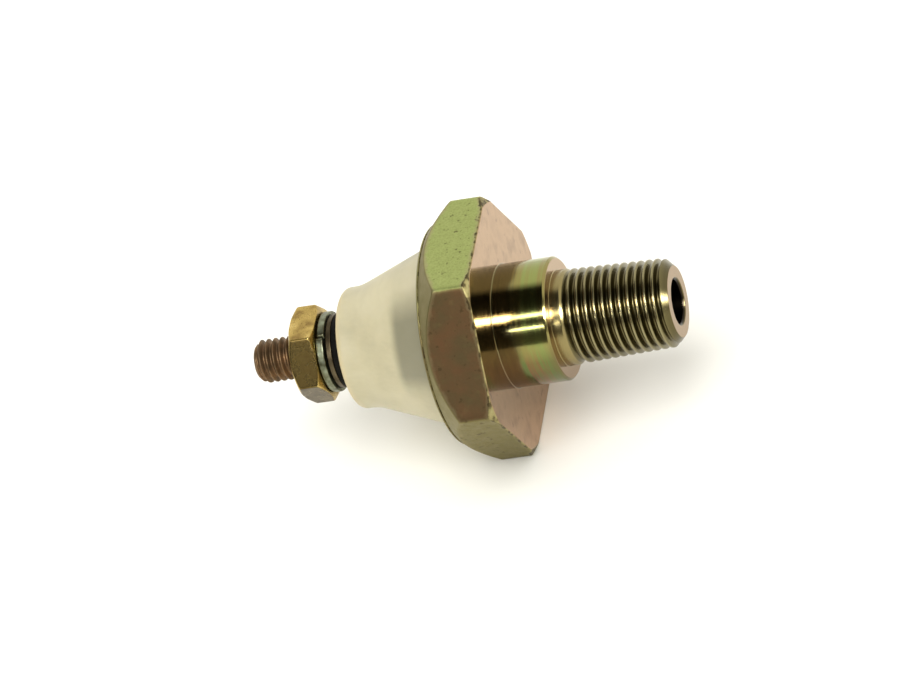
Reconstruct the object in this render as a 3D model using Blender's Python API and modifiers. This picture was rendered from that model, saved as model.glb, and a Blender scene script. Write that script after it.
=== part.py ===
"""Screw-in oil pressure switch with one threaded terminal.

The switch lies along X. The tapered port thread points to +X and the terminal stud to -X.
The origin is on that axis, in the front face of the hexagon, and one flat faces -Z.
Turned pieces are drawn about their own Z as (radius, station) and an empty turns Z to X,
so a station is a world X. Pressure lifts the contact plate off the contact ring towards -X.
"""

import math

import bmesh
import bpy

MM = 0.001
INCH = 25.4 * MM

# Clearances between pieces that touch on the real switch
SEAT_GAP = 0.05 * MM
SIDE_GAP = 0.15 * MM

# Facets round a full turn
LARGE_STEPS = 32
SMALL_STEPS = 16
MERGE = 0.000005

# Hexagon of the port body
HEX_FLATS = 1.0 * INCH
HEX_CORNER = HEX_FLATS / math.sqrt(3.0)
HEX_FRONT = 0.0
HEX_BACK = -6.35 * MM
FRONT_CHAMFER = 1.0 * MM
FRONT_CHAMFER_SLOPE = math.tan(math.radians(30))

# Boss, neck and nipple in front of the hexagon
BOSS_RADIUS = 6.8 * MM
BOSS_END = 6.05 * MM
BOSS_CHAMFER = 0.25 * MM
NECK_RADIUS = 5.25 * MM
NECK_END = 7.15 * MM
NIPPLE_END = 19.05 * MM
NIPPLE_TIP_RADIUS = 3.9 * MM
BORE_RADIUS = 2.4 * MM
BORE_CHAMFER = 0.25 * MM

# Tapered pipe thread, 27 turns to the inch, 1 in 16 on the diameter
PIPE_PITCH = INCH / 27
PIPE_DEPTH = 0.62 * MM
PIPE_CREST_RADIUS = 5.2 * MM
PIPE_TAPER = 1 / 32
PIPE_START = 6.2 * MM
PIPE_TURNS = 12.6
TIP_CHAMFER_SLOPE = 1.0

# Cup behind the hexagon, closed by a lip rolled over the insulator's flange
RIM_RADIUS = 12.2 * MM
RIM_GROOVE = 0.1 * MM
CUP_RADIUS = 11.5 * MM
CUP_FLOOR = -2.05 * MM
CHAMBER_RADIUS = 6.2 * MM
CHAMBER_FLOOR = -1.3 * MM
LIP_INSIDE = -5.7 * MM
LIP_END = -6.65 * MM
LIP_RADIUS = 10.55 * MM

# Stack in the cup, from the floor back to the lip
STACK_RADIUS = 11.3 * MM
GASKET_THICKNESS = 0.4 * MM
GASKET_INNER = 7.2 * MM
DIAPHRAGM_THICKNESS = 0.25 * MM
RING_THICKNESS = 0.9 * MM
RING_INNER = 6.0 * MM
FLANGE_BACK = -5.2 * MM
CRIMP_SEAL_INNER = 10.6 * MM

# Moving contact, its pusher and the plate on the diaphragm
PLATE_RADIUS = 5.6 * MM
PLATE_THICKNESS = 0.5 * MM
PUSHER_RADIUS = 4.5 * MM
PUSHER_FLANGE = 0.7 * MM
PUSHER_STEM_RADIUS = 1.5 * MM
PUSHER_STEM = 1.85 * MM
CONTACT_RADIUS = 7.9 * MM
CONTACT_THICKNESS = 0.4 * MM
RIVET_COUNT = 3
RIVET_CIRCLE = 6.9 * MM
RIVET_HEAD_RADIUS = 0.75 * MM
RIVET_HEAD = 0.3 * MM
RIVET_SHANK_RADIUS = 0.4 * MM
RIVET_HOLE_RADIUS = 0.5 * MM

# Moulded insulator
INSULATOR_END = -18.05 * MM
INSULATOR_NECK_RADIUS = 6.7 * MM
INSULATOR_ROUNDING = 0.6 * MM
INSULATOR_FLARE_START = -16.05 * MM
INSULATOR_FLARE_END = -6.65 * MM
INSULATOR_FLARE_RADIUS = 10.3 * MM
CAVITY_RADIUS = 8.4 * MM
CAVITY_STEP = -6.05 * MM
CAVITY_NECK_RADIUS = 5.0 * MM
CAVITY_END = -10.25 * MM
STUD_POCKET_FLATS = 6.65 * MM
STUD_POCKET_END = -13.05 * MM
STUD_HOLE_RADIUS = 2.55 * MM

# Terminal stud, number 10 with 32 turns to the inch
STUD_END = -29.21 * MM
STUD_RADIUS = 0.19 * INCH / 2
STUD_PITCH = INCH / 32
STUD_THREAD_DEPTH = 0.46 * MM
STUD_THREAD_START = -17.75 * MM
STUD_CHAMFER = 0.6 * MM
STUD_HEAD_FLATS = 0.25 * INCH
STUD_HEAD_FRONT = -11.35 * MM
STUD_HEAD_BACK = -12.55 * MM
STUD_WASHER_THICKNESS = 0.4 * MM
STUD_WASHER_RADIUS = 3.15 * MM
SETTING_HOLE_RADIUS = 1.5 * MM
SETTING_HOLE_END = -16.35 * MM

# Setting screw, spring seat and contact spring
SETTING_SCREW_RADIUS = 1.4 * MM
SETTING_SCREW_END = -14.95 * MM
SEAT_FRONT = -10.55 * MM
SEAT_BACK = -11.0 * MM
SEAT_RADIUS = 3.1 * MM
SEAT_NUB_RADIUS = 2.05 * MM
SEAT_NUB = 0.6 * MM
SPRING_RADIUS = 2.6 * MM
SPRING_WIRE_RADIUS = 0.275 * MM
SPRING_TURNS = 5.5
SPRING_CLOSED_TURNS = 1.0
SPRING_POINTS_A_TURN = 12

# Seal, washers and nut on the stud
SEAL_THICKNESS = 1.3 * MM
SEAL_RADIUS = 4.3 * MM
PLAIN_WASHER_THICKNESS = 0.57 * MM
PLAIN_WASHER_RADIUS = 4.1 * MM
LOCK_WASHER_THICKNESS = 0.95 * MM
LOCK_WASHER_RADIUS = 4.45 * MM
LOCK_WASHER_RISE = 0.15 * MM
LOCK_WASHER_TURN = math.radians(347)
LOCK_WASHER_SPLIT = math.radians(208)
WASHER_HOLE_RADIUS = 2.65 * MM
NUT_FLATS = 0.375 * INCH
NUT_THICKNESS = 0.125 * INCH - 0.175 * MM
NUT_HOLE_RADIUS = 2.5 * MM
NUT_CHAMFER = 0.45 * MM


def clear_scene():
    for old in list(bpy.data.objects):
        bpy.data.objects.remove(old, do_unlink=True)


def new_collection(name):
    made = bpy.data.collections.new(name)
    bpy.context.scene.collection.children.link(made)
    return made


def finish(name, colour, roughness, metallic):
    """A Principled material of one colour."""
    material = bpy.data.materials.new(name)
    material.use_nodes = True
    shader = material.node_tree.nodes["Principled BSDF"]
    shader.inputs["Base Color"].default_value = (*colour, 1.0)
    shader.inputs["Roughness"].default_value = roughness
    shader.inputs["Metallic"].default_value = metallic
    return material


def empty(name, parent=None, turn=0.0):
    """An empty on the axis, turned about Y."""
    made = bpy.data.objects.new(name, None)
    made.empty_display_size = 4 * MM
    made.rotation_euler = (0.0, turn, 0.0)
    made.parent = parent
    PIECES.objects.link(made)
    return made


def add_object(name, mesh, material, parent, collection=None):
    made = bpy.data.objects.new(name, mesh)
    (collection or PIECES).objects.link(made)
    made.parent = parent
    if material:
        mesh.materials.append(material)
    return made


def outline_mesh(name, outline, closed):
    """An outline in the XZ plane: radius along X, station along Z."""
    mesh = bpy.data.meshes.new(name)
    points = [(radius, 0.0, station) for radius, station in outline]
    edges = [(i, i + 1) for i in range(len(points) - 1)]
    if closed:
        edges.append((len(points) - 1, 0))
    mesh.from_pydata(points, edges, [])
    return mesh


def turned(name, outline, material, parent, steps=SMALL_STEPS, collection=None):
    """A solid of revolution whose outline runs down its outer side, then back up inside."""
    on_axis = outline[0][0] == 0.0 and outline[-1][0] == 0.0
    mesh = outline_mesh(name, outline, not on_axis)
    made = add_object(name, mesh, material, parent, collection)
    screw = made.modifiers.new("turn", "SCREW")
    screw.axis = "Z"
    screw.steps = steps
    screw.render_steps = steps
    screw.use_merge_vertices = True
    screw.merge_threshold = MERGE
    screw.use_smooth_shade = True
    return made


def as_cutter(made):
    made.hide_render = True
    made.display_type = "WIRE"
    return made


def combine(made, cutter, operation):
    boolean = made.modifiers.new(operation.lower(), "BOOLEAN")
    boolean.operation = operation
    boolean.solver = "EXACT"
    boolean.object = cutter
    return made


def prism_cutter(name, sides, across_flats, low, high, parent, centre=(0.0, 0.0)):
    """A prism along Z with one flat facing +X."""
    mesh = bpy.data.meshes.new(name)
    shape = bmesh.new()
    radius = across_flats / 2 / math.cos(math.pi / sides)
    bmesh.ops.create_cone(
        shape, cap_ends=True, segments=sides, radius1=radius, radius2=radius, depth=high - low
    )
    bmesh.ops.translate(shape, verts=shape.verts, vec=(*centre, (high + low) / 2))
    shape.to_mesh(mesh)
    shape.free()
    return as_cutter(add_object(name, mesh, None, parent, CUTTERS))


def evaluated_mesh(made):
    """The object's mesh with its modifiers applied."""
    bpy.context.view_layer.update()
    graph = bpy.context.evaluated_depsgraph_get()
    return bpy.data.meshes.new_from_object(made.evaluated_get(graph))


def replace_mesh(made, mesh):
    """Gives the object a finished mesh, with its ends closed and its faces outwards."""
    made.modifiers.clear()
    shape = bmesh.new()
    shape.from_mesh(mesh)
    bmesh.ops.remove_doubles(shape, verts=shape.verts, dist=MERGE / 10)
    open_edges = [edge for edge in shape.edges if edge.is_boundary]
    bmesh.ops.holes_fill(shape, edges=open_edges)
    bmesh.ops.recalc_face_normals(shape, faces=shape.faces)
    shape.to_mesh(mesh)
    shape.free()
    made.data = mesh
    return made


def thread_ridge(name, start, pitch, turns, crest, depth, parent):
    """A helical ridge with a 60 degree form, its base sunk into the core of the thread."""
    sunk = 0.15 * MM
    crest_flat = pitch / 8
    foot_flat = crest_flat + 2 * (depth + sunk) * math.tan(math.radians(30))
    foot_flat = min(foot_flat, 0.94 * pitch)
    middle = start + pitch / 2
    outline = [
        (crest, middle + crest_flat / 2),
        (crest, middle - crest_flat / 2),
        (crest - depth - sunk, middle - foot_flat / 2),
        (crest - depth - sunk, middle + foot_flat / 2),
    ]
    ridge = turned(name, outline, None, parent, SMALL_STEPS, CUTTERS)
    screw = ridge.modifiers["turn"]
    screw.use_merge_vertices = False
    screw.angle = 2 * math.pi * turns
    screw.screw_offset = pitch * turns
    screw.steps = round(SMALL_STEPS * turns)
    screw.render_steps = screw.steps
    replace_mesh(ridge, evaluated_mesh(ridge))
    return as_cutter(ridge)


def limit_radius(made, limit):
    """Moves each vertex in to the radius that limit gives for its own radius and station."""
    for vertex in made.data.vertices:
        radius = math.hypot(vertex.co.x, vertex.co.y)
        share = limit(radius, vertex.co.z) / radius
        vertex.co.x *= share
        vertex.co.y *= share


def arc(centre_radius, centre_station, radius, start, stop, count):
    """Points on an arc; an angle of 0 points outwards and 90 degrees towards +station."""
    points = []
    for i in range(count + 1):
        angle = math.radians(start + (stop - start) * i / count)
        across = centre_radius + radius * math.cos(angle)
        along = centre_station + radius * math.sin(angle)
        points.append((across, along))
    return points


def ring_outline(inner, outer, high, low):
    return [(outer, high), (outer, low), (inner, low), (inner, high)]


def disc_outline(radius, high, low):
    return [(0.0, high), (radius, high), (radius, low), (0.0, low)]


def pipe_crest(station):
    """Crest radius of the tapered thread at a station."""
    return PIPE_CREST_RADIUS - PIPE_TAPER * (station - NECK_END)


def tip_limit(station):
    """Radius of the lead-in chamfer at the nipple's end."""
    return NIPPLE_TIP_RADIUS + TIP_CHAMFER_SLOPE * (NIPPLE_END - station)


def make_port_body(parent):
    """Steel body turned from hexagon bar: nipple, boss, hexagon and crimped cup in one."""
    root_end = pipe_crest(NIPPLE_END) - PIPE_DEPTH
    chamfer_end = NIPPLE_END - (root_end - NIPPLE_TIP_RADIUS) / TIP_CHAMFER_SLOPE
    outline = [
        (BORE_RADIUS + BORE_CHAMFER, NIPPLE_END),
        (NIPPLE_TIP_RADIUS, NIPPLE_END),
        (pipe_crest(chamfer_end) - PIPE_DEPTH, chamfer_end),
        (pipe_crest(NECK_END) - PIPE_DEPTH, NECK_END + PIPE_DEPTH),
        (NECK_RADIUS, NECK_END),
        (NECK_RADIUS, BOSS_END),
        (BOSS_RADIUS - BOSS_CHAMFER, BOSS_END),
        (BOSS_RADIUS, BOSS_END - BOSS_CHAMFER),
        (BOSS_RADIUS, HEX_FRONT),
        (HEX_CORNER - FRONT_CHAMFER, HEX_FRONT),
        (HEX_CORNER, HEX_FRONT - FRONT_CHAMFER * FRONT_CHAMFER_SLOPE),
        (HEX_CORNER, HEX_BACK + HEX_CORNER - RIM_RADIUS),
        (RIM_RADIUS, HEX_BACK),
        (RIM_RADIUS - RIM_GROOVE, HEX_BACK),
        (RIM_RADIUS - RIM_GROOVE, HEX_BACK - RIM_GROOVE / 2),
        (RIM_RADIUS, HEX_BACK - RIM_GROOVE),
        (RIM_RADIUS, LIP_END + RIM_GROOVE),
        (RIM_RADIUS - RIM_GROOVE, LIP_END),
        (LIP_RADIUS, LIP_END),
        (LIP_RADIUS, LIP_INSIDE),
        (CUP_RADIUS, LIP_INSIDE),
        (CUP_RADIUS, CUP_FLOOR),
        (CHAMBER_RADIUS, CUP_FLOOR),
        (CHAMBER_RADIUS, CHAMBER_FLOOR),
        (BORE_RADIUS, CHAMBER_FLOOR),
        (BORE_RADIUS, NIPPLE_END - BORE_CHAMFER),
    ]
    body = turned("port_body", outline, ZINC_YELLOW, parent, LARGE_STEPS)
    hexagon = prism_cutter("hexagon", 6, HEX_FLATS, LIP_END - MM, NIPPLE_END + MM, parent)
    combine(body, hexagon, "INTERSECT")
    ridge = thread_ridge(
        "pipe_ridge", PIPE_START, PIPE_PITCH, PIPE_TURNS, PIPE_CREST_RADIUS, PIPE_DEPTH, parent
    )
    limit_radius(ridge, pipe_limit)
    return combine(body, ridge, "UNION")


def pipe_limit(radius, station):
    """Tapers the ridge with the core and cuts it by the lead-in chamfer."""
    tapered = radius - PIPE_TAPER * max(station - NECK_END, 0.0)
    return min(tapered, tip_limit(station) - 0.05 * MM)


def make_cup_stack(parent):
    """Gasket, diaphragm, contact ring and crimp seal, in order from the cup's floor."""
    high = CUP_FLOOR - SEAT_GAP
    low = high - GASKET_THICKNESS
    outline = ring_outline(GASKET_INNER, STACK_RADIUS, high, low)
    turned("diaphragm_gasket", outline, BLACK_RUBBER, parent, LARGE_STEPS)
    high = low - SEAT_GAP
    low = high - DIAPHRAGM_THICKNESS
    outline = disc_outline(STACK_RADIUS, high, low)
    turned("diaphragm", outline, AMBER_FILM, parent, LARGE_STEPS)
    high = low - SEAT_GAP
    low = high - RING_THICKNESS
    outline = ring_outline(RING_INNER, STACK_RADIUS, high, low)
    turned("contact_ring", outline, BRASS, parent, LARGE_STEPS)
    seal_high = FLANGE_BACK - SEAT_GAP
    seal_low = LIP_INSIDE + SEAT_GAP
    outline = ring_outline(CRIMP_SEAL_INNER, STACK_RADIUS, seal_high, seal_low)
    turned("crimp_seal", outline, BLACK_RUBBER, parent, LARGE_STEPS)
    return high, low


def make_contact_carrier(parent, plate_high, ring_back):
    """Plate on the diaphragm, insulating pusher and contact plate with its silver rivets."""
    plate_low = plate_high - PLATE_THICKNESS
    outline = disc_outline(PLATE_RADIUS, plate_high, plate_low)
    turned("pressure_plate", outline, STEEL, parent, LARGE_STEPS)
    high = plate_low - SEAT_GAP
    low = high - PUSHER_FLANGE
    outline = [
        (0.0, high),
        (PUSHER_RADIUS, high),
        (PUSHER_RADIUS, low),
        (PUSHER_STEM_RADIUS, low),
        (PUSHER_STEM_RADIUS, low - PUSHER_STEM),
        (0.0, low - PUSHER_STEM),
    ]
    turned("insulating_pusher", outline, PHENOLIC, parent)
    front = ring_back - SEAT_GAP - RIVET_HEAD - SEAT_GAP
    back = front - CONTACT_THICKNESS
    outline = ring_outline(PUSHER_STEM_RADIUS + SIDE_GAP, CONTACT_RADIUS, front, back)
    contact = turned("contact_plate", outline, BRASS, parent, LARGE_STEPS)
    for i in range(RIVET_COUNT):
        angle = 2 * math.pi * i / RIVET_COUNT
        centre = (RIVET_CIRCLE * math.cos(angle), RIVET_CIRCLE * math.sin(angle))
        hole = prism_cutter(
            f"rivet_hole_{i + 1}", 16, 2 * RIVET_HOLE_RADIUS, back - MM, front + MM, parent, centre
        )
        combine(contact, hole, "DIFFERENCE")
        rivet = turned(f"contact_rivet_{i + 1}", rivet_outline(front, back), SILVER, parent, 16)
        rivet.location = (*centre, 0.0)
    return back


def rivet_outline(front, back):
    """A contact rivet: wide head in front of the plate, shank through it, small head behind."""
    tail = 0.15 * MM
    tail_radius = RIVET_HEAD_RADIUS - 0.1 * MM
    return [
        (0.0, front + SEAT_GAP + RIVET_HEAD),
        (RIVET_HEAD_RADIUS, front + SEAT_GAP + RIVET_HEAD),
        (RIVET_HEAD_RADIUS, front + SEAT_GAP),
        (RIVET_SHANK_RADIUS, front + SEAT_GAP),
        (RIVET_SHANK_RADIUS, back - SEAT_GAP),
        (tail_radius, back - SEAT_GAP),
        (tail_radius, back - SEAT_GAP - tail),
        (0.0, back - SEAT_GAP - tail),
    ]


def flare_radius(station):
    """Outer radius of the insulator's conical skirt at a station."""
    rise = (INSULATOR_FLARE_RADIUS - INSULATOR_NECK_RADIUS) / (
        INSULATOR_FLARE_END - INSULATOR_FLARE_START
    )
    return INSULATOR_NECK_RADIUS + rise * (station - INSULATOR_FLARE_START)


def make_insulator(parent, ring_back):
    """Hollow moulded cap: flange in the cup, conical skirt, round neck and stud hole."""
    corner = INSULATOR_ROUNDING
    front = ring_back - SEAT_GAP
    outline = [
        (CAVITY_RADIUS, front),
        (STACK_RADIUS, front),
        (STACK_RADIUS, FLANGE_BACK),
        (INSULATOR_FLARE_RADIUS, FLANGE_BACK),
        (INSULATOR_FLARE_RADIUS, INSULATOR_FLARE_END),
        (flare_radius(INSULATOR_FLARE_START + 1.2 * MM), INSULATOR_FLARE_START + 1.2 * MM),
        (INSULATOR_NECK_RADIUS + 0.12 * MM, INSULATOR_FLARE_START + 0.2 * MM),
        (INSULATOR_NECK_RADIUS, INSULATOR_FLARE_START - 0.6 * MM),
        *arc(INSULATOR_NECK_RADIUS - corner, INSULATOR_END + corner, corner, 0, -90, 4),
        (STUD_HOLE_RADIUS, INSULATOR_END),
        (STUD_HOLE_RADIUS, CAVITY_END),
        (CAVITY_NECK_RADIUS, CAVITY_END),
        (CAVITY_NECK_RADIUS, CAVITY_STEP - 1.5 * MM),
        (CAVITY_RADIUS, CAVITY_STEP),
    ]
    insulator = turned("insulator", outline, CREAM_NYLON, parent, LARGE_STEPS)
    pocket = prism_cutter(
        "stud_pocket", 6, STUD_POCKET_FLATS, STUD_POCKET_END, CAVITY_END + MM, parent
    )
    return combine(insulator, pocket, "DIFFERENCE")


def stud_chamfer(station):
    """Radius of the chamfer at the stud's free end."""
    return STUD_RADIUS - STUD_CHAMFER + (station - STUD_END)


def stud_limit(radius, station):
    """Keeps the ridge inside the end chamfer and just under the plain shank."""
    return min(radius, stud_chamfer(station) - 0.02 * MM)


def make_stud(parent):
    """Threaded terminal stud with a hexagonal head that is keyed into the insulator."""
    head_corner = STUD_HEAD_FLATS / math.sqrt(3.0)
    core = STUD_RADIUS - STUD_THREAD_DEPTH
    outline = [
        (0.0, SETTING_HOLE_END),
        (SETTING_HOLE_RADIUS, SETTING_HOLE_END),
        (SETTING_HOLE_RADIUS, STUD_HEAD_FRONT),
        (head_corner, STUD_HEAD_FRONT),
        (head_corner, STUD_HEAD_BACK),
        (STUD_RADIUS, STUD_HEAD_BACK),
        (STUD_RADIUS, STUD_THREAD_START),
        (core, STUD_THREAD_START - STUD_THREAD_DEPTH),
        (core, STUD_END + core - stud_chamfer(STUD_END)),
        (stud_chamfer(STUD_END), STUD_END),
        (0.0, STUD_END),
    ]
    stud = turned("terminal_stud", outline, DARK_STEEL, parent)
    key = prism_cutter(
        "stud_head_hexagon", 6, STUD_HEAD_FLATS, STUD_END - MM, STUD_HEAD_FRONT + MM, parent
    )
    combine(stud, key, "INTERSECT")
    first = STUD_END + 0.05 * MM
    turns = (STUD_THREAD_START + 0.3 * MM - first) / STUD_PITCH - 0.5
    crest = STUD_RADIUS - 0.01 * MM
    ridge = thread_ridge(
        "stud_ridge", first, STUD_PITCH, turns, crest, STUD_THREAD_DEPTH, parent
    )
    limit_radius(ridge, stud_limit)
    return combine(stud, ridge, "UNION")


def make_setting(parent):
    """Inner washer under the stud's head, slotted setting screw in it and the spring seat."""
    high = STUD_HEAD_BACK - SEAT_GAP
    outline = ring_outline(
        STUD_HOLE_RADIUS, STUD_WASHER_RADIUS, high, high - STUD_WASHER_THICKNESS
    )
    turned("inner_washer", outline, BRASS, parent)
    high = SEAT_BACK - SEAT_GAP
    outline = disc_outline(SETTING_SCREW_RADIUS, high, SETTING_SCREW_END)
    screw = turned("setting_screw", outline, BRASS, parent)
    combine(screw, slot_cutter("screw_slot", high, parent), "DIFFERENCE")
    outline = [
        (0.0, SEAT_FRONT + SEAT_NUB),
        (SEAT_NUB_RADIUS - 0.3 * MM, SEAT_FRONT + SEAT_NUB),
        (SEAT_NUB_RADIUS, SEAT_FRONT + SEAT_NUB - 0.3 * MM),
        (SEAT_NUB_RADIUS, SEAT_FRONT),
        (SEAT_RADIUS, SEAT_FRONT),
        (SEAT_RADIUS, SEAT_BACK),
        (0.0, SEAT_BACK),
    ]
    turned("spring_seat", outline, BRASS, parent)


def slot_cutter(name, high, parent):
    """A box as wide as a screwdriver slot, centred on the face at that station."""
    mesh = bpy.data.meshes.new(name)
    shape = bmesh.new()
    bmesh.ops.create_cube(shape, size=1.0)
    size = (0.5 * MM, 4 * SETTING_SCREW_RADIUS, 1.2 * MM)
    bmesh.ops.scale(shape, verts=shape.verts, vec=size)
    bmesh.ops.translate(shape, verts=shape.verts, vec=(0.0, 0.0, high))
    shape.to_mesh(mesh)
    shape.free()
    return as_cutter(add_object(name, mesh, None, parent, CUTTERS))


def make_spring(parent, contact_back):
    """Compression spring whose first and last turns lie closed."""
    high = contact_back - SEAT_GAP - SPRING_WIRE_RADIUS
    low = SEAT_FRONT + SEAT_GAP + SPRING_WIRE_RADIUS
    closed_rise = 2.1 * SPRING_WIRE_RADIUS * SPRING_CLOSED_TURNS
    active_turns = SPRING_TURNS - 2 * SPRING_CLOSED_TURNS
    active_rise = high - low - 2 * closed_rise
    curve = bpy.data.curves.new("contact_spring", "CURVE")
    curve.dimensions = "3D"
    curve.bevel_depth = SPRING_WIRE_RADIUS
    curve.bevel_resolution = 2
    curve.use_fill_caps = True
    spline = curve.splines.new("POLY")
    count = round(SPRING_TURNS * SPRING_POINTS_A_TURN) + 1
    spline.points.add(count - 1)
    for i in range(count):
        turn = i / SPRING_POINTS_A_TURN
        start_part = min(turn / SPRING_CLOSED_TURNS, 1.0) * closed_rise
        active_part = min(max(turn - SPRING_CLOSED_TURNS, 0.0), active_turns)
        end_part = max(turn - SPRING_CLOSED_TURNS - active_turns, 0.0) * closed_rise
        rise = start_part + active_part / active_turns * active_rise + end_part
        angle = 2 * math.pi * turn
        across = SPRING_RADIUS * math.cos(angle)
        along = SPRING_RADIUS * math.sin(angle)
        spline.points[i].co = (across, along, low + rise, 1.0)
    return add_object("contact_spring", curve, STEEL, parent)


def make_washers(parent, seal_parent):
    """Seal on the insulator, then plain washer and split lock washer on the stud."""
    high = INSULATOR_END - SEAT_GAP
    low = high - SEAL_THICKNESS
    outline = ring_outline(WASHER_HOLE_RADIUS, SEAL_RADIUS, high, low)
    turned("stud_seal", outline, BLACK_RUBBER, seal_parent, LARGE_STEPS)
    high = low - SEAT_GAP
    low = high - PLAIN_WASHER_THICKNESS
    outline = ring_outline(WASHER_HOLE_RADIUS, PLAIN_WASHER_RADIUS, high, low)
    turned("plain_washer", outline, STEEL, parent, LARGE_STEPS)
    high = low - SEAT_GAP
    low = high - LOCK_WASHER_THICKNESS
    outline = ring_outline(WASHER_HOLE_RADIUS, LOCK_WASHER_RADIUS, high - LOCK_WASHER_RISE, low)
    washer = turned("lock_washer", outline, ZINC_WHITE, parent, LARGE_STEPS)
    screw = washer.modifiers["turn"]
    screw.use_merge_vertices = False
    screw.angle = LOCK_WASHER_TURN
    screw.screw_offset = LOCK_WASHER_RISE
    replace_mesh(washer, evaluated_mesh(washer))
    washer.rotation_euler = (0.0, 0.0, LOCK_WASHER_SPLIT)
    return low


def make_nut(parent, high):
    """Hexagonal nut, chamfered on both faces, with a plain hole that clears the thread."""
    high -= SEAT_GAP
    low = high - NUT_THICKNESS
    corner = NUT_FLATS / math.sqrt(3.0)
    slope = math.tan(math.radians(30))
    outline = [
        (NUT_HOLE_RADIUS, high),
        (corner - NUT_CHAMFER, high),
        (corner, high - NUT_CHAMFER * slope),
        (corner, low + NUT_CHAMFER * slope),
        (corner - NUT_CHAMFER, low),
        (NUT_HOLE_RADIUS, low),
    ]
    nut = turned("terminal_nut", outline, BRASS, parent, LARGE_STEPS)
    flats = prism_cutter("nut_hexagon", 6, NUT_FLATS, low - MM, high + MM, parent)
    return combine(nut, flats, "INTERSECT")


clear_scene()
PIECES = new_collection("pressure_switch")
CUTTERS = new_collection("cutters")

ZINC_YELLOW = finish("zinc_yellow_steel", (0.42, 0.36, 0.16), 0.3, 1.0)
ZINC_WHITE = finish("zinc_white_steel", (0.52, 0.55, 0.46), 0.35, 1.0)
STEEL = finish("steel", (0.36, 0.33, 0.28), 0.4, 1.0)
DARK_STEEL = finish("browned_steel", (0.12, 0.08, 0.05), 0.5, 1.0)
BRASS = finish("brass", (0.48, 0.34, 0.12), 0.4, 1.0)
SILVER = finish("silver", (0.8, 0.8, 0.78), 0.25, 1.0)
CREAM_NYLON = finish("cream_nylon", (0.78, 0.73, 0.55), 0.45, 0.0)
BLACK_RUBBER = finish("black_rubber", (0.02, 0.02, 0.02), 0.7, 0.0)
AMBER_FILM = finish("amber_film", (0.55, 0.25, 0.04), 0.3, 0.0)
PHENOLIC = finish("phenolic", (0.12, 0.05, 0.03), 0.5, 0.0)

AXIS_TURN = math.pi / 2
HOUSING = empty("housing_axis", None, AXIS_TURN)
CARRIER = empty("contact_travel", HOUSING)
WASHERS = empty("washer_slide", HOUSING)
NUT = empty("nut_turn", WASHERS)

make_port_body(HOUSING)
RING_HIGH, RING_BACK = make_cup_stack(HOUSING)
CONTACT_BACK = make_contact_carrier(CARRIER, RING_HIGH, RING_BACK)
make_insulator(HOUSING, RING_BACK)
make_stud(HOUSING)
make_setting(HOUSING)
make_spring(HOUSING, CONTACT_BACK)
WASHER_LOW = make_washers(WASHERS, HOUSING)
make_nut(NUT, WASHER_LOW)
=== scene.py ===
import math

import bmesh
import bpy
import numpy as np
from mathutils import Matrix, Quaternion, Vector


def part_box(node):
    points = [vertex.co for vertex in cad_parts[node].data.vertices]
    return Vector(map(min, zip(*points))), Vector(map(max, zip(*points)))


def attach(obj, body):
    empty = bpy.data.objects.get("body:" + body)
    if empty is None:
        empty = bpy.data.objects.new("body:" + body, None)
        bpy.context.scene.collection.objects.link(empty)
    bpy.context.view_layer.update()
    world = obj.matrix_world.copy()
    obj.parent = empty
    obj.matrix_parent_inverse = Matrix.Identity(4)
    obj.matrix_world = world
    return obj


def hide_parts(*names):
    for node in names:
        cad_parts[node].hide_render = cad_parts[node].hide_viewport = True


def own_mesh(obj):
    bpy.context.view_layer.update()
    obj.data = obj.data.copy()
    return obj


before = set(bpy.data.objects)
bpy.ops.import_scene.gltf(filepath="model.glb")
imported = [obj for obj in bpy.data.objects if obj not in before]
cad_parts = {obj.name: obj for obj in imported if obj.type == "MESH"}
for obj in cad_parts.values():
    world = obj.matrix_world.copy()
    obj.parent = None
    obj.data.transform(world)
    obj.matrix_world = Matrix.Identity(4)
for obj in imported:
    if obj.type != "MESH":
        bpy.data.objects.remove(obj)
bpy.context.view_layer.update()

MM = 0.001
INCH = 25.4 * MM


# ---------------------------------------------------------------------------
# Surface the switch lies on: a sheet of smooth matt white card, lit softly from
# above. The switch rests on one flat of its hexagon, so that flat sets the height.
# ---------------------------------------------------------------------------
def linear(code):
    """sRGB hex colour to linear RGBA: the low end is a straight line, the rest a 2.4 power."""
    rgb = [int(code[i : i + 2], 16) / 255 for i in (1, 3, 5)]
    return (*[c / 12.92 if c <= 0.04045 else ((c + 0.055) / 1.055) ** 2.4 for c in rgb], 1.0)


def fill(tree, node, inputs):
    """Fills a node's inputs with values, hex colours or sockets."""
    for key, value in inputs.items():
        if isinstance(value, bpy.types.NodeSocket):
            tree.links.new(value, node.inputs[key])
        else:
            node.inputs[key].default_value = linear(value) if isinstance(value, str) else value


def add_node(tree, kind, inputs=None, stops=None, **settings):
    """Adds a node, sets its properties and fills its inputs. stops are a colour ramp's (position,
    hex colour) pairs."""
    node = tree.nodes.new(kind)
    for key, value in settings.items():
        setattr(node, key, value)
    fill(tree, node, inputs or {})
    if stops:
        elements = node.color_ramp.elements
        while len(elements) < len(stops):
            elements.new(0.5)
        for element, (position, code) in zip(elements, stops):
            element.position = position
            element.color = linear(code)
    return node


def new_material(name):
    """A material with its Principled shader, returned with its node tree."""
    material = bpy.data.materials.new(name)
    material.use_nodes = True
    return material, material.node_tree, material.node_tree.nodes["Principled BSDF"]


FLOOR_RADIUS = 3.0
FLOOR_SIDES = 96
CARD_GRAIN_SCALE = 900.0

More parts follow.
